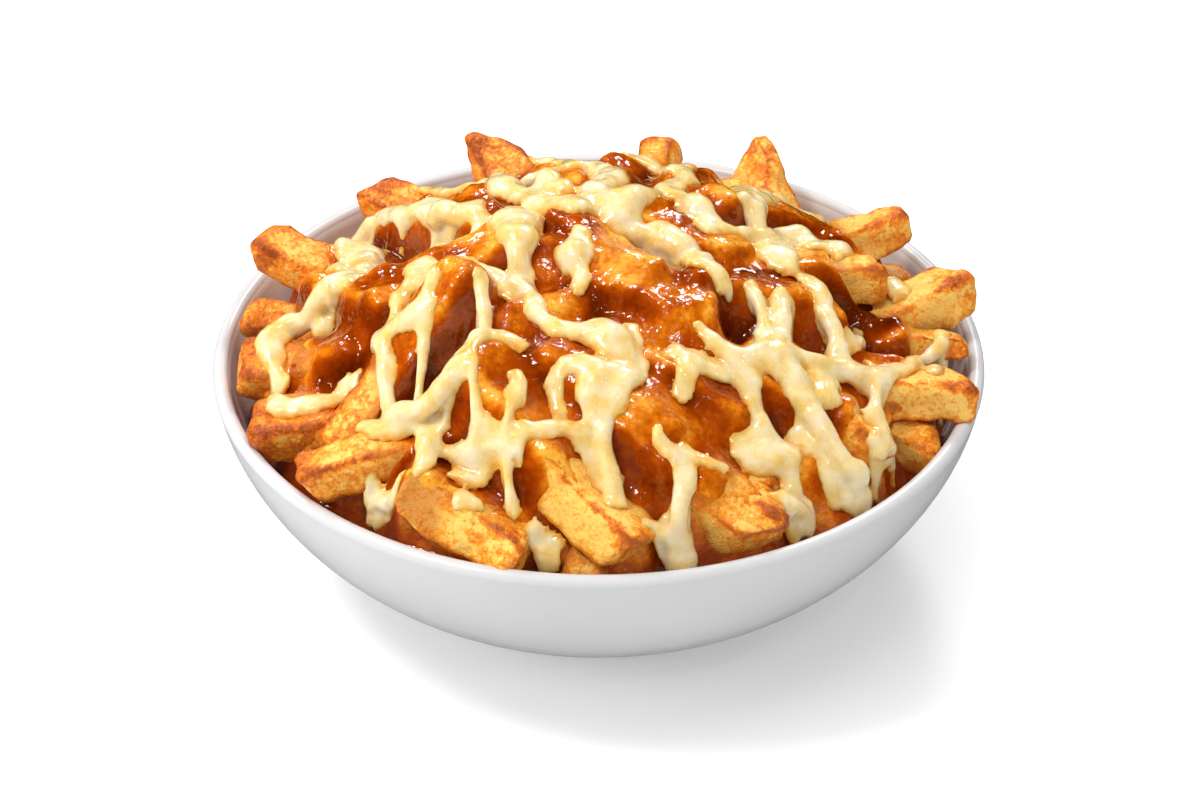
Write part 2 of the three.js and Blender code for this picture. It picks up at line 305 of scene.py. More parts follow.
def bowl_profile(steps=26):
    curve = [LIP_T * i / steps for i in range(1, steps + 1)]
    outer = [belly_point(t) for t in curve]
    inner = [belly_point(t, WALL) for t in reversed(curve)]
    inner = [(r, z) for r, z in inner if z > FLOOR_TOP + 1 * MM]
    ring = FOOT_RADIUS - FOOT_RING
    foot = [(0, FOOT_RECESS), (ring - 1 * MM, FOOT_RECESS), (ring, 0.6 * MM), (ring + 1 * MM, 0)]
    foot += arc(FOOT_RADIUS - FOOT_ROUND, FOOT_ROUND, FOOT_ROUND, -90, 0, 4)
    lip = arc(RIM_RADIUS - WALL / 2, BOWL_HEIGHT - WALL / 2, WALL / 2, 0, 180, 12)
    return foot + outer + lip + inner + [(inner[-1][0] - FLOOR_FILLET, FLOOR_TOP), (0, FLOOR_TOP)]


def spin_profile(points, steps):
    """Extrudes one vertex along a profile and spins it about Z into a closed solid."""
    bpy.ops.mesh.primitive_plane_add(size=1 * MM)
    piece = bpy.context.object
    bpy.ops.object.mode_set(mode="EDIT")
    bpy.ops.mesh.select_all(action="SELECT")
    bpy.ops.mesh.merge(type="CENTER")
    last = (0, 0)
    for r, z in points:
        step = (r - last[0], 0, z - last[1])
        if last == (0, 0) and r == 0:
            bpy.ops.transform.translate(value=step)
        else:
            bpy.ops.mesh.extrude_region_move(TRANSFORM_OT_translate={"value": step})
        last = (r, z)
    bpy.ops.mesh.select_all(action="SELECT")
    bpy.ops.mesh.spin(steps=steps, angle=2 * math.pi, center=(0, 0, 0), axis=(0, 0, 1))
    bpy.ops.mesh.select_all(action="SELECT")
    bpy.ops.mesh.remove_doubles(threshold=0.01 * MM)
    bpy.ops.mesh.normals_make_consistent(inside=False)
    bpy.ops.object.mode_set(mode="OBJECT")
    smooth(piece)
    return piece


bowl = spin_profile(bowl_profile(), steps=128)
print("Bowl spun,", round(max(read_points(bowl.data)[:, 0]) / MM, 1), "mm rim radius")

# %% [markdown]
# ## The glaze
#
# A white glaze is glassy but never a mirror: it flows a little in the kiln, so its gloss and its surface
# change slowly from place to place. One plain white would look like plastic. So soft noise varies the
# roughness, a very shallow bump ripples the surface, and a thin clear coat lies over it. The white stays
# well below full white, so that the round of the belly can still be seen.

# %% Glaze
def glaze_material():
    """White, slightly rippled and softly glossy."""
    material, tree, shader = new_material("white_glaze")
    cloud = add_noise(tree, 40 * MM, detail=2)
    tone = add_ramp(tree, cloud, [(0.3, (0.61, 0.605, 0.61)), (0.7, (0.645, 0.64, 0.64))])
    fill_inputs(tree, shader, {
        "Base Color": tone,
        "Roughness": add_range(tree, add_noise(tree, 6 * MM, detail=4), 0.3, 0.7, 0.30, 0.38),
        "Normal": add_bump(tree, add_noise(tree, 14 * MM, detail=2), 0.10 * MM),
        "IOR": 1.5,
        "Coat Weight": 0.25,
        "Coat Roughness": 0.18,
    })
    return material


finish_piece(bowl, "bowl_glazed", glaze_material())
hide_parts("bowl")

# %% [markdown]
# ## The chips
#
# The chips are cut about fourteen millimetres square from large potatoes. Frying puffs the skin, dishes the
# faces, browns the edges and cut ends, and wrinkles them. A chip could be a bevelled box with a bump map,
# but its outline would then be a ruler's. So one stick is modelled and cut fine, and every chip is a copy
# of it whose points are moved: rounded, dished, tapered, cut at a slant, bent and wrinkled. How brown each
# point is goes into an attribute called `toast`, because browning follows the chip's edges. `toast` also
# holds painted light, which makes the chips at the front and on the right paler where the lamps leave them
# in shade.

# %% The heap's shape
HEAP_RISE = 40 * MM
HEAP_RADIUS = 105 * MM
HEAP_FORWARD = 9 * MM  # the heap's top lies this far in front of the bowl's axis
CORE_DEPTH = 15 * MM


def dome_height(x, y):
    """Height of the heap's dome at a place."""
    return BOWL_HEIGHT + HEAP_RISE * (1 - (x * x + (y + HEAP_FORWARD) ** 2) / HEAP_RADIUS ** 2)


def uneven(i, k):
    """An uneven but repeatable number from -1 to 1."""
    s = math.sin(i * 12.9898 + k * 78.233) * 43758.5453
    return 2 * (s - math.floor(s)) - 1


print("Dome", round(dome_height(0, 0) / MM, 1), "mm high in the middle")

# %% One stick to copy
STICK_CELLS = 4


def add_stick(cuts):
    """A stick one unit square and four long, made by extruding a cube, with each cell cut into squares."""
    bpy.ops.mesh.primitive_cube_add(size=1, location=(0, 0, 0.5))
    stick = bpy.context.object
    bpy.ops.object.transform_apply(location=True)
    bpy.ops.object.mode_set(mode="EDIT")
    bpy.ops.mesh.select_mode(type="FACE")
    bpy.ops.mesh.select_all(action="DESELECT")
    bpy.ops.object.mode_set(mode="OBJECT")
    for face in stick.data.polygons:
        face.select = face.center.z > 0.99
    bpy.ops.object.mode_set(mode="EDIT")
    for _ in range(STICK_CELLS - 1):
        bpy.ops.mesh.extrude_region_move(TRANSFORM_OT_translate={"value": (0, 0, 1)})
    bpy.ops.mesh.select_all(action="SELECT")
    bpy.ops.mesh.subdivide(number_cuts=cuts)
    bpy.ops.object.mode_set(mode="OBJECT")
    return stick


fine_stick = add_stick(cuts=10)
coarse_stick = add_stick(cuts=8)
small_stick = add_stick(cuts=3)
print("Sticks:", len(fine_stick.data.polygons), "and", len(coarse_stick.data.polygons), "faces")

# %% Shaping a chip
CORNER_POWER = 4.6  # 2 would be a round section, and more is squarer
DISH = 0.09  # share of the half width that a face sinks in its middle
TIP_ROUND = 2.6 * MM
TIP_BROWN = 12 * MM  # how far browning reaches from the tip
WEDGE_REACH = 0.45  # share of the length over which a wedge narrows
BEND = 0.05  # share of the length
TWIST = 0.22  # radians over the whole length


def shape_chip(stick, length, width, thickness, seed, wedge=0.0):
    """Turns the stick's square points into one chip's, tip at the origin and length along +Z."""
    x, y, z = read_points(stick).T
    a, b = 2 * x, 2 * y
    along = z / STICK_CELLS
    reach = along * length
    most = np.maximum(np.abs(a), np.abs(b))
    skin = most > 0.999
    safe = np.maximum(most, 1e-6)
    corner = np.abs(a / safe) ** CORNER_POWER + np.abs(b / safe) ** CORNER_POWER
    corner = np.maximum(corner, 1) ** (-1 / CORNER_POWER)

    edge = np.where(skin, ease(np.minimum(np.abs(a), np.abs(b)), 0.35, 1.0), ease(most, 0.5, 1.0))
    tip = ease(reach, TIP_BROWN, 0)
    toast = 0.50 * edge ** 1.9 + 0.27 * tip ** 1.5 + 0.14 * tip * edge ** 1.5

    middle = np.sin(np.pi * np.clip(along, 0, 1)) ** 0.5
    dish_a = 1 - DISH * (1 - b * b) * middle * (np.abs(a) > np.abs(b)) * (1 + 0.6 * uneven(seed, 11))
    dish_b = 1 - DISH * (1 - a * a) * middle * (np.abs(b) > np.abs(a)) * (1 + 0.6 * uneven(seed, 12))
    ends = np.minimum(reach, length - reach)
    rounding = 1 - 0.20 * ease(ends, TIP_ROUND, 0) ** 2
    taper = 1 - (0.10 + 0.08 * uneven(seed, 13)) * (1 - along) ** 2
    point = wedge * (1 - np.clip(along / WEDGE_REACH, 0, 1))
    across = a * corner * dish_a * rounding * taper * (1 - 0.55 * point) * width / 2
    up = b * corner * dish_b * rounding * taper * (1 - 0.70 * point) * thickness / 2
    puff = 1.0 * MM * (1 - most ** 2)
    reach = reach + np.where(along > 0.5, puff, -puff) * (~skin)

    slant_a = 0.38 * uneven(seed, 14) + 0.8 * wedge
    slant_b = 0.40 * uneven(seed, 15)
    reach = reach + (slant_a * across + slant_b * up) * ease(along, 0.35, 0)
    bend = length * BEND
    across = across + bend * uneven(seed, 16) * (along - 0.4) ** 2 * 4
    up = up + bend * uneven(seed, 17) * (along - 0.4) ** 2 * 4
    twist = TWIST * uneven(seed, 18) * along
    points = np.stack([
        across * np.cos(twist) - up * np.sin(twist),
        across * np.sin(twist) + up * np.cos(twist),
        reach,
    ], axis=1)
    return points, toast


# Wrinkles of three sizes: how wide, how deep, and the share of the depth that only browned skin has.
WRINKLES = [(14 * MM, 1.9 * MM, 0.0), (5.0 * MM, 0.95 * MM, 0.2), (2.4 * MM, 0.5 * MM, 0.6)]
BROWNEST = 0.68


def wrinkle_chip(mesh, toast, seed, fried_and_painted_light):
    """Moves each point along its normal by noise, and gives the skin's browning with patches in it. The
    browning also takes in painted light from where the chip lies.
    """
    points = read_points(mesh)
    normals = read_points(mesh, "normal")
    offset = Vector((seed * 0.731, seed * 0.417, seed * 0.913))
    moved = np.zeros(len(points))
    patch = np.zeros(len(points))
    for i, point in enumerate(points):
        place = Vector(point)
        for size, depth, browned in WRINKLES:
            share = 1 if browned == 0 else (1 - browned) + browned * min(1.0, 1.3 * toast[i])
            moved[i] += depth * share * noise.noise(place / size + offset)
        patch[i] = noise.noise(place / (9 * MM) - offset) + 0.6 * noise.noise(place / (3.5 * MM) - offset)
    write_points(mesh, points + normals * moved[:, None])
    # Painted light: the chips at the front and on the right come out paler here.
    cooked_and_painted_light = fried_and_painted_light + 0.05 * uneven(seed, 21)
    return np.clip(toast * (1 + 0.6 * patch) + 0.28 * patch + cooked_and_painted_light, 0, BROWNEST)


def place_chip(tip, heading, pitch, roll):
    """The matrix that puts a chip's tip at a place and its length towards its heading. Angles in degrees."""
    pitch, heading, roll = math.radians(pitch), math.radians(heading), math.radians(roll)
    level = math.cos(pitch)
    back = -Vector((level * math.cos(heading), level * math.sin(heading), math.sin(pitch)))
    side = Vector((0, 0, 1)).cross(back).normalized()
    up = back.cross(side)
    turn = Matrix((side, up, back)).transposed().to_4x4() @ Matrix.Rotation(roll, 4, "Z")
    return Matrix.Translation(tip) @ turn


def add_chip(stick, tip, heading, pitch, length, width, thickness, roll, seed, wedge=0.0):
    """Copies the stick's mesh, shapes it and puts it in its place."""
    mesh = stick.data.copy()
    points, toast = shape_chip(mesh, length, width, thickness, seed, wedge)
    write_points(mesh, points)
    # The chips on the left are fried darker. Those at the front and on the right are made paler, as painted
    # light where the lamps leave them in shade.
    fried_and_painted_light = 0.08 + 0.13 * ease(-tip[0], 0, 70 * MM) - 0.10 * ease(-tip[1], 45 * MM, 90 * MM)
    fried_and_painted_light -= 0.08 * ease(tip[0], 20 * MM, 100 * MM)
    write_attribute(mesh, "toast", wrinkle_chip(mesh, toast, seed, fried_and_painted_light))
    write_attribute(mesh, "batch", np.full(len(toast), 0.5 + 0.5 * uneven(seed, 22)))
    mesh.transform(place_chip(tip, heading, pitch, roll))
    chip = bpy.data.objects.new("chip", mesh)
    bpy.context.collection.objects.link(chip)
    return chip


# %% [markdown]
# ## Where the chips lie
#
# Physics could drop chips into a bowl, but no chip would then be where it is needed. So the chips round the
# rim, which show whole, are placed one by one. Those under the gravy show only as ridges in it, so each of
# them lies along a dome. The rest, behind and at the sides, are laid in rings with an uneven but repeatable
# turn, and small crumbs fill the gaps at the front.

# %% The chips that show round the rim
# Tip x, y and z, heading, pitch, length, width, thickness, roll, and how much of a wedge it is. Millimetres
# and degrees.
RIM_CHIPS = [
    (-34, 82, 85, 122, 38, 62, 25, 20, 8, 0.7),
    (-69, 62, 77, 158, 10, 60, 16, 13, 20, 0.2),
    (-97, 24, 81, 170, 18, 66, 18, 15, 12, 0.3),
    (-101, 6, 70, 176, 10, 55, 15, 13, 35, 0.4),
    (-101, -20, 68, 178, 0, 60, 17, 15, 15, 0.0),
    (-93, -46, 65, 184, -8, 58, 17, 15, 10, 0.0),
    (-66, -58, 70, 222, -38, 56, 14, 13, 5, 0.0),
    (-77, -71, 71, 184, -12, 62, 13, 12, 4, 0.0),
    (-19, -97, 64, -33, -14, 35, 18, 15, 20, 0.0),
    (9, -99, 66, -42, -25, 66, 19, 16, 15, 0.1),
    (41, -93, 65, -36, -26, 66, 19, 16, -10, 0.1),
    (101.5, -34, 69, 2, -8, 66, 18, 14, 12, 0.2),
    (102, 9, 79, 28, 16, 64, 17, 15, 8, 0.0),
    (90, 40, 80, 20, 12, 62, 18, 16, 15, 0.3),
    (54, 80, 83, 70, 60, 52, 27, 25, 30, 1.0),
    (21, 94, 77, 80, 8, 60, 14, 14, 20, 0.3),
    (78, 2, 85, 12, -4, 60, 15, 15, 10, 0.1),
    (103, -11, 73, 6, 4, 50, 12, 11, 20, 0.3),
    (92, -47, 58, -28, -16, 50, 13, 12, 0, 0.0),
    (-4, -101, 58, -100, -24, 46, 12, 11, 10, 0.0),
]

rim_chips = []
for i, (x, y, z, heading, pitch, length, width, thickness, roll, wedge) in enumerate(RIM_CHIPS):
    tip = Vector((x, y, z)) * MM
    size = (length * MM, width * MM, thickness * MM)
    rim_chips.append(add_chip(fine_stick, tip, heading, pitch, *size, roll, seed=i + 1, wedge=wedge))
print(len(rim_chips), "chips round the rim")

# %% The chips under the gravy
# Each lies on the dome: tip x and y, tail x and y, width, thickness, roll, and how far it stands over the
# dome. Millimetres and degrees.
COATED_CHIPS = [
    (-63, -17, -26, -10, 17, 15, 10, 2),
    (-28, -6, 8, -26, 16, 15, 20, 1),
    (-32, -42, -2, -50, 14, 13, 10, -1),
    (25, -43, -6, -2, 17, 15, 15, 3),
    (9, -62, -24, -42, 15, 14, 10, 1),
    (39, -65, 6, -46, 15, 14, 5, -1),
    (22, -76, -6, -56, 16, 15, 20, 3),
    (-21, -80, -20, -44, 16, 15, 15, 1),
    (-5, -78, -12, -40, 14, 13, 30, -1),
    (-43, -46, -14, -22, 13, 13, 10, -3),
    (-84, -24, -46, -30, 14, 13, 15, -3),
    (40, -6, 10, 6, 14, 13, 10, 0),
    (65, -19, 30, -22, 14, 14, 20, 0),
    (58, -56, 26, -46, 14, 13, 15, -2),
    (75, -60, 46, -42, 13, 13, 20, -3),
    (45, -86, 18, -70, 14, 13, 10, -4),
    (-36, 34, -8, 8, 15, 14, 15, 1),
    (6, 44, 2, 8, 15, 14, 25, 1),
    (40, 30, 12, 10, 15, 14, 10, 0),
    (-62, 40, -34, 16, 14, 13, 10, 0),
    (-14, 70, -10, 34, 15, 14, 10, 0),
    (32, 66, 20, 32, 14, 13, 20, 0),
    (66, 36, 36, 22, 15, 14, 15, 0),
    (-50, 62, -36, 28, 14, 13, 15, -1),
]

coated_chips = []
for i, (tip_x, tip_y, tail_x, tail_y, width, thickness, roll, rise) in enumerate(COATED_CHIPS):
    ends = []
    for x, y in ((tip_x, tip_y), (tail_x, tail_y)):
        height = dome_height(x * MM, y * MM) + (rise - thickness / 2) * MM
        ends.append(Vector((x * MM, y * MM, height)))
    line = ends[0] - ends[1]
    heading = math.degrees(math.atan2(line.y, line.x))
    pitch = math.degrees(math.atan2(line.z, math.hypot(line.x, line.y)))
    size = (line.length + 8 * MM, width * MM, thickness * MM)
    coated_chips.append(add_chip(coarse_stick, ends[0], heading, pitch, *size, roll, seed=i + 41, wedge=0.1))

# The rest of the back and sides: how many, first bearing, tip radius, depth under the dome, and how many
# degrees they span.
BACK_RINGS = [
    (9, 8, 98, 10, 172),
    (8, 18, 84, 7, 172),
    (3, 196, 94, 14, 60),
    (7, 200, 84, 14, 150),
]
RING_SIZES = ((56, 7), (14, 1.5), (13.5, 1.3))  # length, width and thickness: mean and swing in millimetres
for count, first, radius, depth, spread in BACK_RINGS:
    for i in range(count):
        seed = len(coated_chips) + 41
        bearing = first + spread * (i + 0.3 * uneven(seed, 1)) / count
        away = (radius + 3 * uneven(seed, 2)) * MM
        tip = Vector((away * math.cos(math.radians(bearing)), away * math.sin(math.radians(bearing)), 0))
        tip.z = dome_height(tip.x, tip.y) - (depth + 2 * uneven(seed, 3)) * MM
        heading = bearing + 48 * uneven(seed, 4)
        pitch = -18 + 11 * uneven(seed, 5)
        size = [(mean + swing * uneven(seed, k)) * MM for k, (mean, swing) in enumerate(RING_SIZES, 6)]
        roll = 25 * uneven(seed, 9)
        coated_chips.append(add_chip(coarse_stick, tip, heading, pitch, *size, roll, seed=seed))
print(len(coated_chips), "chips in and behind the gravy")

# %% Crumbs of chip in the gaps at the front
CRUMBS = 34
CRUMB_SIZE = (12, 9, 8)  # mean length, width and thickness in millimetres
for i in range(CRUMBS):
    bearing = math.radians(-158 + 136 * (i + 0.5 * uneven(i, 61)) / CRUMBS)
    away = (91 + 4 * uneven(i, 62)) * MM
    place = Vector((away * math.cos(bearing), away * math.sin(bearing), (66 + 3 * uneven(i, 63)) * MM))
    heading = math.degrees(bearing) + 60 * uneven(i, 67)
    size = [(mean + 2 * uneven(i, k)) * MM for k, mean in enumerate(CRUMB_SIZE, 64)]
    pitch = 30 * uneven(i, 68)
    roll = 90 * uneven(i, 69)
    coated_chips.append(add_chip(small_stick, place, heading, pitch, *size, roll, seed=i + 201))
print(CRUMBS, "crumbs")

# %% [markdown]
# ## The fried skin
#
# A chip is gold on its flat faces and brown at its edges and ends, with blisters and fine cracks. An image
# could be wrapped round it, but every chip would need its own. So a ramp turns one number into a colour:
# the browning that is stored on the mesh, with painted light for the chips at the front and on the right,
# shifted by noise of several sizes. Where gravy has run over the skin, the colour is mixed with amber and
# the surface is smoother.

# %% Fried potato
def chip_material():
    """Golden to brown by `toast`, and glazed with thin gravy by `sauce`."""
    material, tree, shader = new_material("fried_potato")
    mottle = add_noise(tree, 4 * MM, detail=6, roughness=0.68)
    speckle = add_noise(tree, 1.3 * MM, detail=3, roughness=0.6)
    ridged = add_math(tree, "ABSOLUTE", add_math(tree, "SUBTRACT", add_noise(tree, 4 * MM, detail=4), 0.5), 0)
    # `toast` brings the browning and the painted light that makes the chips at the front and on the right
    # paler.
    brown = add_attribute(tree, "toast")
    for change in (
        add_range(tree, mottle, 0.35, 0.65, -0.17, 0.17),
        add_range(tree, speckle, 0.35, 0.65, -0.15, 0.17),
        add_range(tree, add_attribute(tree, "batch"), 0, 1, -0.06, 0.06),
        add_range(tree, ridged, 0.0, 0.05, 0.16, 0.0),
    ):
        brown = add_math(tree, "ADD", brown, change)
    fried_and_painted_light = add_ramp(tree, brown, [
        (0.05, (1.00, 0.60, 0.130)),
        (0.22, (0.97, 0.37, 0.025)),
        (0.40, (0.83, 0.205, 0.004)),
        (0.62, (0.54, 0.110, 0.006)),
        (0.95, (0.27, 0.048, 0.005)),
    ])
    sauce = add_attribute(tree, "sauce")
    uneven_sauce = add_math(tree, "ADD", sauce, add_range(tree, mottle, 0.3, 0.7, -0.15, 0.15))
    wet = add_range(tree, uneven_sauce, 0.1, 0.9)
    glaze = add_ramp(tree, sauce, [(0.3, (0.80, 0.34, 0.035)), (1.0, (0.42, 0.10, 0.008))])
    dry = add_range(tree, speckle, 0.3, 0.7, 0.22, 0.50)
    blister = add_bump(tree, add_noise(tree, 2.2 * MM, detail=5, roughness=0.65), 0.75 * MM)
    fill_inputs(tree, shader, {
        "Base Color": add_mix(tree, add_math(tree, "MULTIPLY", wet, 0.70), fried_and_painted_light, glaze),
        "Roughness": add_math(tree, "MULTIPLY", dry, add_range(tree, wet, 0, 1, 1.0, 0.45)),
        "Normal": add_bump(tree, add_noise(tree, 0.9 * MM, detail=3), 0.42 * MM, under=blister),
        "Subsurface Weight": 0.10,
        "Subsurface Radius": (1.0, 0.45, 0.12),
        "Subsurface Scale": 1.5 * MM,
    })
    return material


# %% Joining the chips
def join(pieces):
    pick(*pieces)
    bpy.ops.object.join()
    return bpy.context.object


potato = chip_material()
rim_heap = join(rim_chips)
smooth(rim_heap)
finish_piece(rim_heap, "chips_at_rim", potato)
inner_heap = join(coated_chips)
smooth(inner_heap)
finish_piece(inner_heap, "chips_in_gravy", potato)
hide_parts("fries")
for stick in (fine_stick, coarse_stick, small_stick):
    bpy.data.objects.remove(stick)

# %% [markdown]
# ## The gravy
#
# Thick gravy is poured over the middle. It bridges the small gaps, rounds every edge, thins over the tops
# of the chips and pools between them, and runs out towards the rim in tongues. A fluid simulation would be
# slow and hard to steer. A cloth would not pool. So the gravy is a fine grid dropped on the heap: rays find
# how high the heap is under each point, and the sheet's height comes from that map. Filling the map's
# narrow gaps gives the coat, and shrinking its peaks gives the puddles. Where the coat ends, the sheet dips
# inside the chips, so each tongue's edge is where two real surfaces meet.

# %% The heap's height map
GRID_STEP = 0.7 * MM
GRID_REACH = 107 * MM
GRID_CELL = (GRID_STEP / (10 * MM)) ** 2  # square centimetres
grid_count = 2 * int(GRID_REACH / GRID_STEP) + 1
grid_line = (np.arange(grid_count) - grid_count // 2) * GRID_STEP
grid_x, grid_y = np.meshgrid(grid_line, grid_line, indexing="ij")
grid_r = np.hypot(grid_x, grid_y)
grid_bearing = np.arctan2(grid_y, grid_x)


def tree_of(*pieces):
    """One search tree over the faces of several pieces that sit at the origin."""
    points, faces = [], []
    for piece in pieces:
        start = len(points)
        points += [vertex.co.copy() for vertex in piece.data.vertices]
        faces += [tuple(start + v for v in face.vertices) for face in piece.data.polygons]
    return BVHTree.FromPolygons(points, faces)


def height_map(tree, floor_level):
    """The highest hit under each grid point, or the floor level where nothing is hit."""
    heights = floor_level.copy()
    down = Vector((0, 0, -1))
    for i, j in zip(*np.nonzero(grid_r < GRID_REACH)):
        hit = tree.ray_cast(Vector((grid_line[i], grid_line[j], 0.3)), down)[0]
        if hit is not None and hit.z > heights[i, j]:
            heights[i, j] = hit.z
    return heights


# Where no chip is hit, the heap is as high as this plain core.
core = dome_height(grid_x, grid_y) - CORE_DEPTH - 10 * MM * ease(grid_r, 88 * MM, 104 * MM)
core = core + 7 * MM * ease(-grid_y, 30 * MM, 70 * MM) * ease(grid_r, 70 * MM, 88 * MM)
heap_top = height_map(tree_of(rim_heap, inner_heap), core)
print("Heap top", round(heap_top.max() / MM, 1), "mm")


# %% Filling, shrinking and smoothing a map
def shifted(heights, di, dj):
    """The map moved by whole steps, its border repeated."""
    rows = np.clip(np.arange(grid_count) + di, 0, grid_count - 1)
    columns = np.clip(np.arange(grid_count) + dj, 0, grid_count - 1)
    return heights[np.ix_(rows, columns)]


def disc(radius):
    """The whole steps that lie within a radius."""
    reach = int(radius / GRID_STEP)
    span = range(-reach, reach + 1)
    return [(i, j) for i in span for j in span if math.hypot(i, j) * GRID_STEP <= radius]


def grown(heights, radius):
    return np.max([shifted(heights, i, j) for i, j in disc(radius)], axis=0)


def shrunk(heights, radius):
    return np.min([shifted(heights, i, j) for i, j in disc(radius)], axis=0)


def blurred(heights, radius):
    """A round blur made of repeated small averages along each axis."""
    passes = max(1, round((radius / GRID_STEP) ** 2 * 1.5))
    for _ in range(passes):
        heights = (shifted(heights, 1, 0) + heights + shifted(heights, -1, 0)) / 3
        heights = (shifted(heights, 0, 1) + heights + shifted(heights, 0, -1)) / 3
    return heights


def sampled(heights, x, y):
    """The map's values at places between its points."""
    u = np.clip(x / GRID_STEP + grid_count // 2, 0, grid_count - 1.001)
    v = np.clip(y / GRID_STEP + grid_count // 2, 0, grid_count - 1.001)
    i, j = u.astype(int), v.astype(int)
    s, t = u - i, v - j
    near = heights[i, j] * (1 - t) + heights[i, j + 1] * t
    far = heights[i + 1, j] * (1 - t) + heights[i + 1, j + 1] * t
    return near * (1 - s) + far * s


def noise_map(size, seed, stretch=None):
    """Smooth noise over the grid. With a stretch, it runs in rays from the middle."""
    values = np.zeros_like(grid_r)
    for i, j in np.ndindex(values.shape):
        if stretch is None:
            place = Vector((grid_line[i] / size, grid_line[j] / size, seed))
        else:
            place = Vector((grid_bearing[i, j] * stretch, grid_r[i, j] / size, seed))
        values[i, j] = noise.noise(place)
    return values


# The coat fills the narrow gaps. Where it ends, the sheet falls to `bare`, which is inside the chips. It
# never falls below the puddles between them. The ridges are what a hollow's depth is measured from.
filled = shrunk(grown(heap_top, 2.9 * MM), 1.5 * MM)
coat = blurred(filled, 1.0 * MM)
bare = np.minimum(shrunk(heap_top, 2.1 * MM) - 1.0 * MM, core + 7 * MM)
puddle = blurred(shrunk(heap_top, 5 * MM), 2.5 * MM) + 1.6 * MM
ridge = blurred(grown(heap_top, 7 * MM), 4 * MM)
print("Filled gaps up to", round(float((filled - heap_top).max()) / MM, 1), "mm deep")

# %% Where the coat reaches
tongues = noise_map(28 * MM, 3.7, stretch=4.2)
patches = noise_map(13 * MM, 8.1)
COAT_REACH = 83 * MM
edge_at = COAT_REACH + 14 * MM * tongues + 9 * MM * patches
edge_at = edge_at + 5 * MM * ease(grid_y, 0, -60 * MM) - 10 * MM * ease(grid_y, 20 * MM, 70 * MM)
cover = ease(grid_r, edge_at + 4 * MM, edge_at - 4 * MM)
soaked = ease(grid_r, edge_at + 5 * MM, edge_at - 6 * MM)
# Spoonfuls that fell further out: x, y and radius in millimetres.
for x, y, radius in ((-46, -82, 14), (-30, -80, 11), (24, -80, 15), (62, -74, 12), (-86, -34, 9)):
    gap = np.hypot(grid_x - x * MM, grid_y - y * MM) + 5 * MM * patches
    cover = np.maximum(cover, ease(gap, radius * MM, (radius - 7) * MM))
    soaked = np.maximum(soaked, ease(gap, (radius + 3) * MM, (radius - 6) * MM))
# Chips that stay clean further up: x, y and radius in millimetres.
for x, y, radius in ((-70, -54, 15), (77, 2, 12)):
    gap = np.hypot(grid_x - x * MM, grid_y - y * MM)
    cover = cover * ease(gap, (radius - 5) * MM, (radius + 1) * MM)
    soaked = soaked * ease(gap, (radius - 7) * MM, radius * MM)
print("Coat covers", round(float(cover.sum()) * GRID_CELL), "square centimetres")

# %% How high the sheet lies
thickness = (0.3 + 3.2 * np.clip(noise_map(11 * MM, 2.2) + 0.05, 0, 1)) * MM
ripples = noise_map(3.5 * MM, 5.3)
pits = 0.45 * MM * noise_map(2.1 * MM, 6.6) * ease(thickness, 1.5 * MM, 0.3 * MM)
sheet = bare + (coat + thickness + pits + 0.3 * MM * ripples - bare) * cover
sheet = np.maximum(sheet, puddle + 0.8 * MM * ripples)
sheet = sheet + 3.5 * MM * np.clip(noise_map(6.5 * MM, 4.4), -0.2, 1) * ease(grid_r, 80 * MM, 90 * MM)
sheet = blurred(sheet, 0.5 * MM)
# At the wall, the sheet goes down to a level below the bowl's rim.
wall_side = ease(grid_r, 96 * MM, 102 * MM)
wall_level = (52 + 9 * ease(-grid_y, 40 * MM, 75 * MM)) * MM
sheet = sheet + (np.minimum(sheet, wall_level) - sheet) * wall_side
print("Gravy up to", round(float((sheet - heap_top).max()) / MM, 1), "mm deep")

# %% How dark the gravy is
# Thick gravy is dark in pools and in patches where the sheet lies flat. In the hollows below the ridges, the
# darkening is painted shade.
# Painted shade: the lower the gravy lies below the ridges around it, the darker it is made.
low_down = np.clip((ridge - sheet) / (15 * MM), 0, 1) * (1 - 0.15 * ease(grid_r, 82 * MM, 96 * MM))
pooled = np.clip((sheet - heap_top) / (5 * MM), 0, 1)
lie_x, lie_y = np.gradient(blurred(sheet, 1.5 * MM), GRID_STEP)
level = 1 / np.sqrt(1 + lie_x ** 2 + lie_y ** 2)  # 1 where the gravy lies flat, towards 0 where it is steep
painted_hollow_shade = 0.88 * low_down ** 1.25 * (0.45 + 0.55 * ease(level, 0.25, 0.80))
flat_on_top = 0.30 * ease(level, 0.70, 0.96) * ease(noise_map(16 * MM, 9.4), -0.25, 0.25)
gravy_dark_and_hollow_shade = np.clip(painted_hollow_shade + 0.45 * pooled ** 1.5 + flat_on_top, 0, 1)
print("Darkness", round(float(gravy_dark_and_hollow_shade.mean()), 2), "on average")

# %% The chips near the gravy are stained by it, and darker where they lie low
for piece in (rim_heap, inner_heap):
    points = read_points(piece.data)
    upward = np.clip(0.5 + 0.7 * read_points(piece.data, "normal")[:, 2], 0, 1)
    # Points that lie far below the ridges around them get more of the dark glaze too, so the chips darken
    # towards the bottom of the hollows.
    low = np.clip((sampled(ridge, points[:, 0], points[:, 1]) - points[:, 2]) / (14 * MM), 0, 1)
    sauce = np.clip(sampled(soaked, points[:, 0], points[:, 1]) * upward + 0.45 * low, 0, 1)
    write_attribute(piece.data, "sauce", sauce)
    print("Sauce on", piece.name, round(float(sauce.mean()), 2), "on average")


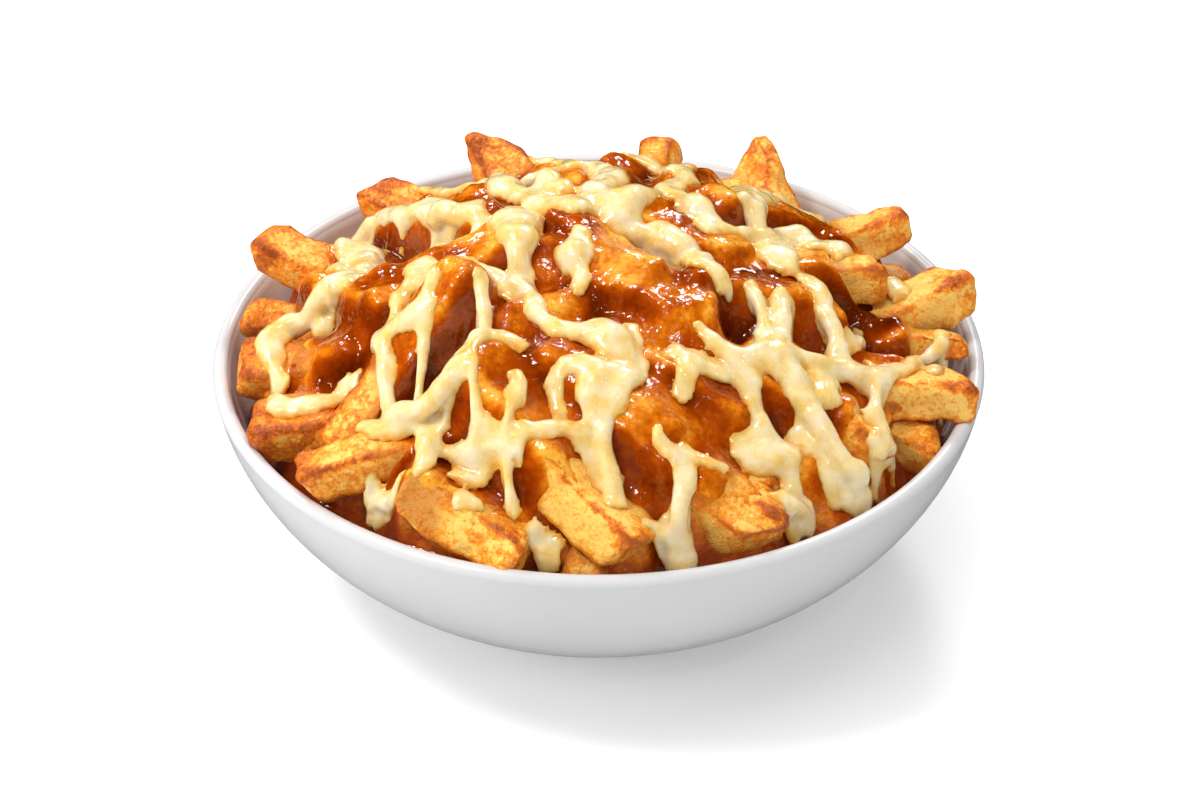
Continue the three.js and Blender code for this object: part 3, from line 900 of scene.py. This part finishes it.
# %% Helpers for a sheet on the grid
def add_grid_sheet():
    """A flat sheet with a vertex at each grid point. Gives the points too, and their places on the grid."""
    bpy.ops.mesh.primitive_grid_add(
        x_subdivisions=grid_count - 1,
        y_subdivisions=grid_count - 1,
        size=2 * grid_line[-1],
    )
    piece = bpy.context.object
    points = read_points(piece.data)
    places = np.rint(points[:, :2].T / GRID_STEP).astype(int) + grid_count // 2
    return piece, points, tuple(places)


def delete_points(piece, unwanted):
    """Deletes the marked vertices, and stays in edit mode."""
    bpy.ops.object.mode_set(mode="EDIT")
    bpy.ops.mesh.select_mode(type="VERT")
    bpy.ops.mesh.select_all(action="DESELECT")
    bpy.ops.object.mode_set(mode="OBJECT")
    piece.data.vertices.foreach_set("select", unwanted)
    bpy.ops.object.mode_set(mode="EDIT")
    bpy.ops.mesh.delete(type="VERT")


# %% The gravy's sheet
SHEET_RADIUS = 104 * MM
gravy, points, places = add_grid_sheet()
points[:, 2] = sheet[places]
write_points(gravy.data, points)
# `depth` holds the darkness of thick gravy and the painted shade of the hollows.
write_attribute(gravy.data, "depth", blurred(gravy_dark_and_hollow_shade, 0.9 * MM)[places])
delete_points(gravy, np.hypot(points[:, 0], points[:, 1]) > SHEET_RADIUS)

# The cut edge is drawn down and in, and closed underneath.
bpy.ops.mesh.select_all(action="SELECT")
bpy.ops.mesh.region_to_loop()
for drop, inwards in ((5 * MM, 0.97), (8 * MM, 0.92)):
    bpy.ops.mesh.extrude_edges_move(TRANSFORM_OT_translate={"value": (0, 0, -drop)})
    bpy.ops.transform.resize(value=(inwards, inwards, 1))
bpy.ops.mesh.edge_face_add()
bpy.ops.mesh.select_all(action="SELECT")
bpy.ops.mesh.normals_make_consistent(inside=False)
bpy.ops.object.mode_set(mode="OBJECT")
print("Gravy sheet:", len(gravy.data.polygons), "faces")

# %% Keeping the gravy inside the bowl
# Points that would come out through the bowl's wall are moved back inside it.
GRIP = 1.2 * MM  # how far the gravy reaches into the wall's thickness
wall = np.array([belly_point(k / 40, WALL - GRIP) for k in range(4, 39)])
points = read_points(gravy.data)
inside = np.interp(points[:, 2], wall[:, 1], wall[:, 0])
radii = np.maximum(np.hypot(points[:, 0], points[:, 1]), 1 * MM)
points[:, :2] *= np.minimum(1, inside / radii)[:, None]
print("Moved in", int((inside < radii).sum()), "points")
write_points(gravy.data, points)
smooth(gravy)

# %% [markdown]
# ## The gravy's colour
#
# Thin gravy on a chip is amber, and a deep pool of it is nearly black. Light could be traced through it as
# through real liquid, but that is slow and hard to hand on to another program. So how deep it looks is
# worked out on the height map, stored on the mesh as `depth`, and turned into a colour by a ramp. `depth`
# also holds painted shade: the gravy is darkened the further it lies below the ridges around it. The fat
# on top of it is a clear coat with smooth waves, which carries the bright reflections.

# %% Gravy colour
def gravy_material():
    """Amber where it is thin and dark brown where it is deep, and darker in the hollows as painted shade,
    under a clear coat of fat.
    """
    material, tree, shader = new_material("brown_gravy")
    # `depth` carries the darkness of thick gravy and the painted shade of the hollows.
    depth = add_attribute(tree, "depth")
    cloud = add_noise(tree, 12 * MM, detail=3)
    fleck = add_noise(tree, 1.6 * MM, detail=3)
    grit = add_noise(tree, 1.5 * MM, detail=4, roughness=0.6)
    deep = add_math(tree, "ADD", depth, add_range(tree, cloud, 0.3, 0.7, -0.20, 0.16))
    deep = add_math(tree, "ADD", deep, add_range(tree, grit, 0.35, 0.65, -0.04, 0.04))
    brown = add_ramp(tree, deep, [
        (0.00, (0.91, 0.42, 0.045)),
        (0.16, (0.68, 0.168, 0.003)),
        (0.34, (0.40, 0.058, 0.001)),
        (0.58, (0.20, 0.021, 0.000)),
        (0.90, (0.08, 0.008, 0.000)),
    ])
    spots = add_range(tree, fleck, 0.58, 0.66, 0.0, 0.4)
    waves = add_bump(tree, add_noise(tree, 3.6 * MM, detail=2), 0.7 * MM)
    grain = add_math(tree, "MULTIPLY", grit, add_range(tree, depth, 0.0, 0.5, 1.0, 0.15))
    fill_inputs(tree, shader, {
        "Base Color": add_mix(tree, spots, brown, (0.22, 0.035, 0.003, 1)),
        "Roughness": add_range(tree, add_noise(tree, 5 * MM, detail=3), 0.3, 0.7, 0.05, 0.13),
        "Normal": add_bump(tree, grain, 0.7 * MM, under=waves),
        "Subsurface Weight": 0.05,
        "Subsurface Radius": (1.0, 0.35, 0.08),
        "Subsurface Scale": 1.0 * MM,
        "IOR": 1.25,
        "Coat Weight": 1.0,
        "Coat Roughness": 0.03,
        "Coat IOR": 1.42,
        "Coat Normal": waves,
    })
    return material


finish_piece(gravy, "gravy_coat", gravy_material())
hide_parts("gravy")

# %% [markdown]
# ## The melted cheese
#
# Grated cheese has melted into soft strands that lie over the ridges, sag between them and run together
# where they cross. Metaballs would melt by themselves but are slow and hard to place. So each strand is a
# line with a width at each corner, laid on the gravy and pulled tight as a string is. Where it lies, it is
# drawn into a map called `film`, and one film of cheese is raised from that map, so the corners between
# strands fill up. Each strand is also a tube, which shows where it hangs. The film and the tubes are then
# remeshed as one.

# %% Laying a strand
surface = np.maximum(sheet, heap_top)
surface = blurred(shrunk(grown(surface, 3.5 * MM), 3.5 * MM), 0.9 * MM)
STRAND_STEP = 1.2 * MM
STRAND_REACH = 97 * MM  # no strand runs further from the axis than this
TAUT = 0.8  # 1 hangs as straight as a string, 0 follows every dip
SLIM = 0.70  # share of its width that a strand has in front. It has more in the middle and on the left


def strand_noise(at, seed, size, row):
    """Smooth noise along a strand."""
    return np.array([noise.noise(Vector((far / size, seed, row))) for far in at])


def strand_route(corners, seed):
    """Points along a strand, with the half width, the distance from its start and the hang at each."""
    corners = np.array(corners, dtype=float) * MM
    gaps = np.hypot(*np.diff(corners[:, :2], axis=0).T)
    far = np.concatenate([[0], np.cumsum(gaps)])
    count = max(4, int(far[-1] / STRAND_STEP) + 1)
    at = np.linspace(0, far[-1], count)
    x, y, width = (np.interp(at, far, corners[:, k]) for k in range(3))
    for _ in range(3):
        x[1:-1] = (x[:-2] + 2 * x[1:-1] + x[2:]) / 4
        y[1:-1] = (y[:-2] + 2 * y[1:-1] + y[2:]) / 4
    x = x + 1.0 * MM * strand_noise(at, seed, 8 * MM, 1.5)
    y = y + 1.0 * MM * strand_noise(at, seed, 8 * MM, 7.5)
    inwards = np.minimum(1, STRAND_REACH / np.hypot(x, y))
    x, y = x * inwards, y * inwards
    base = sampled(surface, x, y)
    z = base.copy()
    for _ in range(80):
        mean = (z[:-2] + z[2:]) / 2
        z[1:-1] = np.maximum(base[1:-1], z[1:-1] + TAUT * (mean - z[1:-1]))
    hang = z - base
    slim = SLIM + 0.24 * ease(y, -35 * MM, 5 * MM) * ease(y, 55 * MM, 25 * MM)
    slim = slim + 0.25 * ease(-x, 55 * MM, 70 * MM)
    half = slim * width / 2 * (1 + 0.40 * strand_noise(at, seed, 6 * MM, 4.5))
    return np.stack([x, y, z], axis=1), half, at, hang


# %% The strands
# Each strand lists its corners as (x, y, width) in millimetres.
STRANDS = [
    [(-56, 29, 10), (-49, 26, 11), (-42, 13, 10), (-36, 11, 8)],
    [(-28, 6, 9), (-36, 1, 10), (-45, -3, 10)],
    [(-72, 28, 9), (-66, 15, 11), (-73, 9, 10)],
    [(-65, 17, 8), (-66, 4, 8), (-66, -5, 9), (-72, -11, 10), (-79, -11, 11), (-89, -10, 10), (-92, -19, 9)],
    [(-88, -11, 8), (-92, -18, 8), (-87, -32, 6)],
    [(-23, 0, 14), (-22, -15, 12), (-21, -26, 9)],
    [
        (-40, -15, 7), (-33, -21, 7), (-27, -26, 9), (-22, -31, 14),
        (-18, -38, 10), (-15, -47, 10), (-7, -52, 12), (0, -49, 12),
    ],
    [(-48, -16, 11), (-52, -28, 8), (-56, -38, 8)],
    [(-42, -22, 8), (-44, -30, 7), (-45, -40, 7)],
    [(-57, -39, 8), (-52, -41, 8), (-46, -41, 9)],
    [(-58, -38, 8), (-57, -45, 8), (-56, -53, 8), (-54, -64, 7)],
    [(-45, -42, 8), (-46, -52, 8), (-48, -61, 7), (-50, -66, 8)],
    [(-31, -37, 9), (-30, -45, 8), (-30, -51, 9)],
    [(-5, -13, 10), (-7, -20, 12), (-5, -26, 9), (-6, -33, 6)],
    [(-18, 14, 9), (-14, 23, 10), (-10, 15, 9)],
    [(-18, 12, 10), (-12, 6, 9), (-7, 1, 9)],
    [(4, 25, 10), (0, 15, 12), (-3, 6, 10)],
    [(4, 3, 12), (12, 8, 10), (16, 12, 7)],
    [(4, 3, 12), (9, -4, 9), (14, -5, 10), (19, -7, 14), (25, -12, 11), (28, -20, 12), (34, -27, 9)],
    [(19, 20, 8), (24, 16, 9), (29, 8, 11), (32, 0, 9)],
    [(41, 29, 8), (44, 22, 12), (45, 10, 11)],
    [(32, 0, 8), (38, 1, 8), (45, 5, 12), (52, 12, 12), (58, 14, 10), (61, 6, 8)],
    [(49, 7, 14), (49, -2, 13), (52, -8, 8)],
    [(64, 5, 7), (68, 4, 9)],
    [(84, 18, 13), (84, 8, 13), (84, 0, 8)],
    [(42, -25, 9), (44, -33, 7), (45, -40, 8), (44, -47, 10)],
    [(50, -27, 10), (49, -37, 9), (47, -46, 10)],
    [(58, -13, 9), (61, -23, 10), (64, -30, 11), (65, -39, 10), (69, -41, 10), (74, -42, 12)],
    [(72, -14, 6), (70, -25, 7), (67, -32, 7)],
    [
        (27, -45, 8), (31, -49, 8), (38, -52, 9), (44, -47, 12),
        (54, -45, 9), (61, -44, 9), (69, -41, 9), (77, -37, 9),
    ],
    [(38, -52, 12), (39, -55, 10), (41, -61, 8), (43, -66, 10), (44, -70, 16)],
    [(38, -72, 11), (43, -72, 16), (48, -70, 14), (50, -76, 9), (50, -82, 8)],
    [
        (44, -47, 12), (49, -51, 14), (53, -56, 12), (56, -61, 12),
        (61, -67, 14), (66, -71, 13), (70, -73, 13), (71, -79, 9),
    ],
    [(53, -65, 10), (59, -69, 12), (62, -75, 8)],
    [(77, -38, 9), (83, -34, 8), (88, -25, 7), (93, -20, 9), (99, -13, 8)],
    [(97, -17, 8), (96, -25, 5)],
    [(74, -32, 6), (76, -36, 7), (81, -32, 5)],
    [(75, -41, 13), (75, -46, 11), (73, -52, 11), (75, -59, 5), (77, -65, 6)],
    [(60, -50, 11), (60, -55, 10)],
    [(-1, -52, 13), (4, -55, 14), (8, -60, 12)],
    [(8, -47, 8), (9, -53, 7), (11, -59, 7)],
    [(20, -53, 12), (23, -55, 11), (27, -56, 10), (33, -55, 7)],
    [(24, -56, 11), (23, -60, 10), (22, -65, 8)],
    [(11, -62, 10), (8, -64, 12), (5, -68, 12), (2, -76, 11), (2, -84, 10), (4, -93, 9)],
    [(0, -65, 11), (-1, -70, 12), (0, -79, 12), (1, -85, 12)],
    [(15, -80, 9), (19, -83, 9), (22, -86, 8)],
    [(-10, -64, 7), (-5, -63, 9), (0, -66, 9)],
    [(-11, -67, 8), (-10, -72, 7)],
    [(-20, -57, 7), (-25, -54, 9), (-29, -53, 9), (-32, -57, 9), (-32, -63, 6), (-31, -71, 6), (-30, -78, 7)],
    [(-29, -53, 11), (-34, -57, 11), (-38, -60, 12), (-42, -63, 12), (-45, -66, 12)],
    [(-61, -64, 8), (-56, -66, 9), (-51, -67, 12), (-45, -69, 14), (-40, -70, 13), (-35, -66, 9)],
    [(-44, -70, 11), (-44, -77, 9), (-45, -83, 9)],
    [(-38, -77, 7), (-34, -78, 7), (-30, -79, 7), (-25, -82, 8), (-20, -84, 7)],
    [(-36, -83, 8), (-31, -84, 8)],
    [(-21, -67, 8), (-22, -75, 6), (-22, -81, 6), (-23, -88, 7), (-22, -92, 7)],
    [(-20, -82, 7), (-15, -79, 9), (-9, -78, 9), (-3, -80, 9), (1, -85, 8)],
    [(-68, -41, 8), (-72, -44, 7), (-77, -45, 8), (-81, -46, 8), (-88, -45, 8), (-94, -44, 8)],
    [(-61, -80, 8), (-60, -84, 9), (-58, -88, 8)],
    [(-35, -91, 9), (-32, -92, 8)],
    [(-16, -96, 7), (-12, -97, 8)],
    [(23, -83, 8), (28, -83, 7), (32, -83, 6)],
    [(22, -84, 8), (21, -89, 8), (20, -94, 9), (22, -99, 11), (22, -101, 12)],
    [(12, -97, 8), (17, -99, 10), (22, -100, 11)],
    [(46, -84, 8), (49, -86, 9), (54, -87, 10), (58, -86, 9)],
    [(77, -66, 8), (81, -65, 8), (85, -64, 6)],
    [(91, -34, 8), (95, -33, 9)],
]
# The back of the heap is finished in the same way.
STRANDS += [
    [(-18, 14, 9), (-26, 26, 10), (-30, 40, 9), (-44, 48, 9), (-52, 60, 8)],
    [(4, 25, 10), (0, 40, 9), (-8, 52, 11), (-10, 66, 9), (-20, 76, 8)],
    [(-8, 52, 9), (8, 56, 8), (20, 50, 10), (28, 60, 10), (30, 74, 8)],
    [(19, 20, 8), (26, 32, 10), (20, 50, 9)],
    [(41, 29, 10), (50, 40, 11), (46, 54, 12), (54, 64, 9)],
    [(50, 40, 10), (60, 45, 9), (66, 48, 8)],
    [(-56, 29, 10), (-62, 38, 9), (-74, 40, 8)],
    [(-30, 40, 8), (-14, 42, 8), (0, 40, 8)],
    [(8, 56, 8), (8, 72, 9), (2, 84, 8)],
]
print(len(STRANDS), "strands")

# %% The film's map
# `film` is 1 along a strand's middle and 0.5 at its edge. Strands that meet add up, which fills their
# corners. The map also holds each place's height and half width, and how far it is across and along a
# strand.
WINDOW = 14 * MM  # how far beside a strand the map is changed
MERGE_POWER = 4.0  # 1 would fill corners most
film_sum = np.zeros_like(grid_r)
near_best = np.zeros_like(grid_r)
lift_sum = np.zeros_like(grid_r)
half_sum = np.zeros_like(grid_r)
weight_sum = np.full_like(grid_r, 1e-9)
across = np.zeros_like(grid_r)
along = np.zeros_like(grid_r)
# The places are shaken a little first, so that the edges come out uneven.
warp_x = grid_x + 1.5 * MM * noise_map(5 * MM, 11.3) + 0.12 * MM * noise_map(2 * MM, 12.9)
warp_y = grid_y + 1.5 * MM * noise_map(5 * MM, 14.1) + 0.12 * MM * noise_map(2 * MM, 15.7)
for seed, corners in enumerate(STRANDS):
    route, half, at, hang = strand_route(corners, seed)
    first = np.floor((route[:, :2].min(axis=0) - WINDOW) / GRID_STEP).astype(int) + grid_count // 2
    last = np.ceil((route[:, :2].max(axis=0) + WINDOW) / GRID_STEP).astype(int) + grid_count // 2
    part = np.s_[max(0, first[0]):last[0], max(0, first[1]):last[1]]
    off_x = warp_x[part][..., None] - route[:, 0]
    off_y = warp_y[part][..., None] - route[:, 1]
    lying = half * (1 - 0.5 * ease(hang, 1 * MM, 5 * MM))
    share = 1 - 0.5 * (off_x ** 2 + off_y ** 2) / lying ** 2
    nearest = share.argmax(axis=-1)
    value = np.clip(share.max(axis=-1), 0, 1) * (1 - ease(hang, 4 * MM, 7 * MM))[nearest]
    film_sum[part] += value ** MERGE_POWER
    weight = value ** 4
    lift_sum[part] += weight * route[nearest, 2]
    half_sum[part] += weight * half[nearest]
    weight_sum[part] += weight
    run = np.gradient(route[:, :2], axis=0)
    run /= np.hypot(*run.T)[:, None]
    beside = np.take_along_axis(off_y, nearest[..., None], -1)[..., 0] * run[nearest, 0]
    beside -= np.take_along_axis(off_x, nearest[..., None], -1)[..., 0] * run[nearest, 1]
    stronger = value > near_best[part]
    across[part] = np.where(stronger, beside, across[part])
    along[part] = np.where(stronger, at[nearest] + seed * 17 * MM, along[part])
    near_best[part] = np.maximum(near_best[part], value)
film = film_sum ** (1 / MERGE_POWER) + 0.09 * noise_map(5 * MM, 17.9) + 0.015 * noise_map(1.8 * MM, 19.3)
film = film - 0.28 * ease(np.hypot(*np.gradient(surface, GRID_STEP)), 1.2, 3.0)  # it thins where it runs down
print("Cheese covers", round(float((film > 0.5).sum()) * GRID_CELL), "square centimetres")

# %% The film
FILM_RADIUS = 102 * MM
FILM_THICKNESS = 1.6 * MM
FILM_RISE = 0.55  # a strand's thickness over the gravy, as a share of its half width
FILM_KEEP = 0.34  # below 0.5, so that the film's edge goes down into the gravy
lift = np.clip(lift_sum / weight_sum - surface, 0, 3 * MM)
base = surface + lift * ease(film, 0.5, 0.95)
base = blurred(base, 0.6 * MM)
half_width = np.clip(half_sum / weight_sum, 2.2 * MM, 6 * MM)
# From 0 at the film's edge to 1 in a strand's middle, first as a straight slope and then rounded over.
slope = np.clip((np.minimum(film, 0.35 * film + 0.65 * near_best + 0.05) - 0.5) / 0.5, -0.5, 1.2)
rounded = np.where(slope > 0, np.abs(slope) ** 0.7, slope)
bulge = 1 + 0.25 * noise_map(4.5 * MM, 21.7)
rise = FILM_RISE * half_width * rounded * bulge
slope_x, slope_y = np.gradient(base, GRID_STEP)
steep = np.sqrt(1 + slope_x ** 2 + slope_y ** 2)
cheese, points, places = add_grid_sheet()
points[:, 0] -= (rise * slope_x / steep)[places]
points[:, 1] -= (rise * slope_y / steep)[places]
points[:, 2] = (base + rise / steep)[places]
write_points(cheese.data, points)
delete_points(cheese, ((film < FILM_KEEP) | (grid_r > FILM_RADIUS))[places])
bpy.ops.object.mode_set(mode="OBJECT")
apply_modifier(cheese, "SOLIDIFY", thickness=FILM_THICKNESS, offset=-1)
print("Film:", len(cheese.data.polygons), "faces")

# %% The strands that hang
NECK = 0.80  # a hanging strand's radius, as a share of its half width when it lies
bpy.ops.curve.primitive_bezier_circle_add(radius=10 * MM)
web = bpy.context.object
web.data.splines.clear()
web.data.dimensions = "3D"
web.data.bevel_depth = 1.0
web.data.bevel_resolution = 3
web.data.use_fill_caps = True
for seed, corners in enumerate(STRANDS):
    route, half, at, hang = strand_route(corners, seed)
    radius = NECK * half * (1 - 0.25 * ease(hang, 1 * MM, 6 * MM))
    free = ease(hang, 0, 3 * MM)
    route[:, 2] += 0.4 * radius * free - 0.4 * radius * (1 - free)
    spline = web.data.splines.new("POLY")
    spline.points.add(len(route) - 1)
    spline.points.foreach_set("co", np.hstack([route, np.ones((len(route), 1))]).ravel())
    spline.points.foreach_set("radius", radius)
pick(web)
bpy.ops.object.convert(target="MESH")
web = bpy.context.object
print("Tubes:", len(web.data.polygons), "faces")

# %% Melting the two together
VOXEL = 0.90 * MM
SPECK = 200  # a loose crumb or a bubble inside has fewer faces than this


def drop_specks(piece):
    """Keeps a piece's large parts only."""
    pick(piece)
    bpy.ops.mesh.separate(type="LOOSE")
    parts = sorted(bpy.context.selected_objects, key=lambda part: -len(part.data.polygons))
    kept = [part for part in parts if len(part.data.polygons) >= SPECK]
    for part in parts[len(kept):]:
        bpy.data.objects.remove(part)
    return join(kept)


cheese = join([cheese, web])
cheese.data.remesh_voxel_size = VOXEL
bpy.ops.object.voxel_remesh()
cheese = drop_specks(cheese)
apply_modifier(cheese, "SMOOTH", factor=0.5, iterations=4)
points = read_points(cheese.data)
normals = read_points(cheese.data, "normal")
side_way = sampled(across, points[:, 0], points[:, 1])
long_way = sampled(along, points[:, 0], points[:, 1])
fibre_places = zip(side_way / (1.3 * MM), long_way / (14 * MM))
fibre = np.array([noise.noise(Vector((x, y, 3.3))) for x, y in fibre_places])
write_points(cheese.data, points + normals * (0.07 * MM * fibre)[:, None])
smooth(cheese)
print("Cheese melted,", len(cheese.data.polygons), "faces")

# %% [markdown]
# ## The cheese's colour
#
# Melted cheese is cream where it is thick, and the gravy under it shows through where it is thin. Light
# also goes a little way into it, which softens its shadows. Real transparency would show the inside of the
# mesh. So the height over the gravy is stored as `stain`, and low places turn amber. Cheese pulls out into
# fine threads, so a pattern of them follows each strand by its own length and width.

# %% How thin the cheese is
points = read_points(cheese.data)
above = points[:, 2] - sampled(surface, points[:, 0], points[:, 1])
write_attribute(cheese.data, "stain", ease(above, 4.2 * MM, 0))
write_attribute(cheese.data, "across", side_way / MM)
write_attribute(cheese.data, "along", long_way / MM)
print("Cheese up to", round(float(above.max()) / MM, 1), "mm over the gravy")


# %% Cheese colour
def cheese_material():
    """Cream with fine threads along each strand, and stained amber by the gravy where it is thin."""
    material, tree, shader = new_material("melted_cheese")
    place = add_node(tree, "ShaderNodeCombineXYZ", {
        "X": add_math(tree, "MULTIPLY", add_attribute(tree, "across"), 1.6),
        "Y": add_math(tree, "MULTIPLY", add_attribute(tree, "along"), 0.12),
    }).outputs["Vector"]
    values = {"Vector": place, "Scale": 1.0, "Detail": 3}
    thread = add_node(tree, "ShaderNodeTexNoise", values).outputs["Fac"]
    cloud = add_noise(tree, 6 * MM, detail=4)
    streak = add_noise(tree, 2 * MM, detail=3)
    cream = add_ramp(tree, cloud, [
        (0.34, (0.80, 0.55, 0.155)),
        (0.50, (0.84, 0.655, 0.325)),
        (0.66, (0.86, 0.735, 0.49)),
    ])
    cream = add_mix(tree, add_range(tree, thread, 0.45, 0.75, 0.0, 0.3), cream, (0.90, 0.80, 0.54, 1))
    edge = add_math(tree, "ADD", add_attribute(tree, "stain"), add_range(tree, streak, 0.3, 0.7, -0.22, 0.22))
    share = add_range(tree, edge, 0.25, 1.05)
    amber = add_ramp(tree, share, [(0.2, (0.88, 0.64, 0.18)), (1.0, (0.80, 0.36, 0.04))])
    lumps = add_bump(tree, add_noise(tree, 2.6 * MM, detail=3), 0.25 * MM)
    fill_inputs(tree, shader, {
        "Base Color": add_mix(tree, share, cream, amber),
        "Roughness": add_range(tree, streak, 0.3, 0.7, 0.18, 0.32),
        "Normal": add_bump(tree, thread, 0.10 * MM, under=lumps),
        "Subsurface Weight": 0.55,
        "Subsurface Radius": (1.0, 0.62, 0.20),
        "Subsurface Scale": 2.6 * MM,
        "Coat Weight": 0.8,
        "Coat Roughness": 0.04,
        "Coat IOR": 1.55,
        "Coat Normal": lumps,
    })
    return material


finish_piece(cheese, "cheese_web", cheese_material())
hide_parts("cheese")
